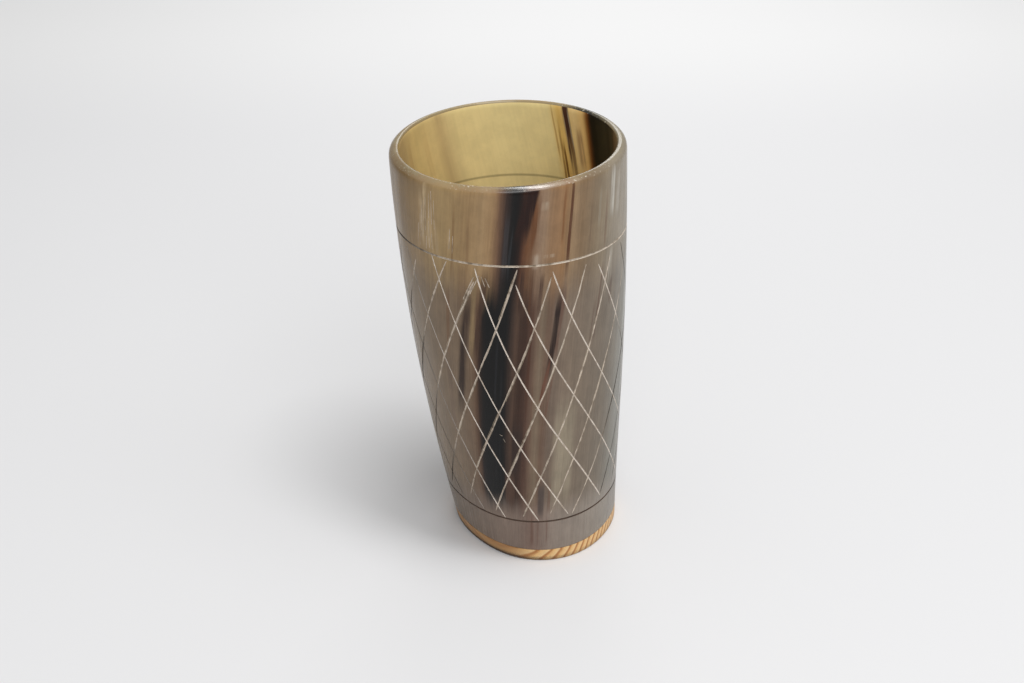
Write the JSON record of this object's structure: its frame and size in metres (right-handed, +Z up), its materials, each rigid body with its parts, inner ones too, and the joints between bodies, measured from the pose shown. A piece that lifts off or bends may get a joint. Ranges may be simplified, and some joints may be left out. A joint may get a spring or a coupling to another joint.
{
  "type": "horn drinking cup",
  "caption": "Leaning beaker of streaked cow horn with a rounded rim, engraved rings and lattice, and a softwood base glued into its narrow end, for drinking from.",
  "frame": {"origin": "middle of the wooden base's underside, on the table", "axes": "+Z up; the front, with the darkest streak, towards -Y; the horn leans towards -X as it rises"},
  "size_m": [0.0766, 0.0756, 0.1425],
  "materials": {
    "polished_horn": "polished horn, taupe and honey with dark streaks along its length",
    "softwood": "oiled softwood with orange growth lines",
    "dried_glue": "dried brown glue",
    "resin_coat": "glossy amber waterproof coat"
  },
  "bodies": {
    "root": {"horn_wall": "polished_horn", "wooden_base": "softwood", "glue_line": "dried_glue", "floor_seal": "resin_coat"}
  },
  "joints": []
}
